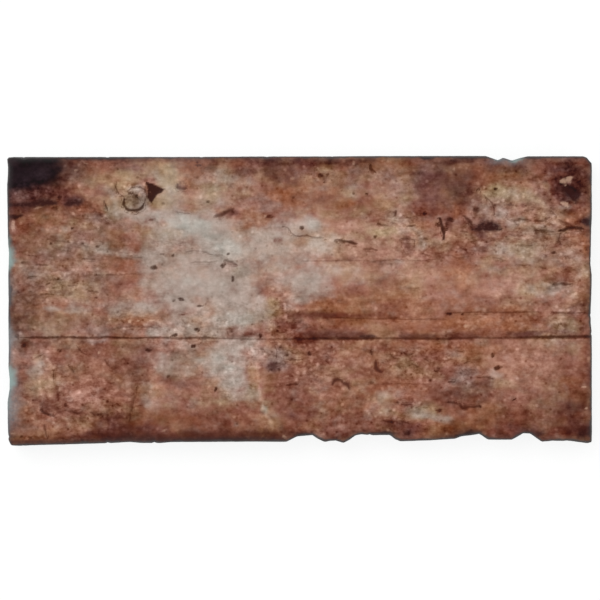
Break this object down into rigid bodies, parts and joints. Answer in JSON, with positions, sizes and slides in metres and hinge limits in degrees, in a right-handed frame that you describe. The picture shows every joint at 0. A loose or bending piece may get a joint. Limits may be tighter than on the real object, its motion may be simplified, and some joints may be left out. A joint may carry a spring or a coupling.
{
  "type": "ceramic wall tile",
  "caption": "Flat rectangular glazed ceramic wall tile with an aged-brick face, a chipped rounded rim and a keyed back of shallow pockets.",
  "frame": {"origin": "middle of the back, on the plane of its ribs, at the centre of the tile's box", "axes": "+X along the length of the tile, +Y across its width towards the back long side, +Z out of the glazed face"},
  "size_m": [0.2, 0.0992, 0.01],
  "materials": {
    "tile": "Matt glaze mottled in terracotta, pinkish beige, tan and lime grey with charcoal stains, over a fired grey-beige body that shows on the back."
  },
  "bodies": {
    "root": {"tile": "tile"}
  },
  "joints": []
}
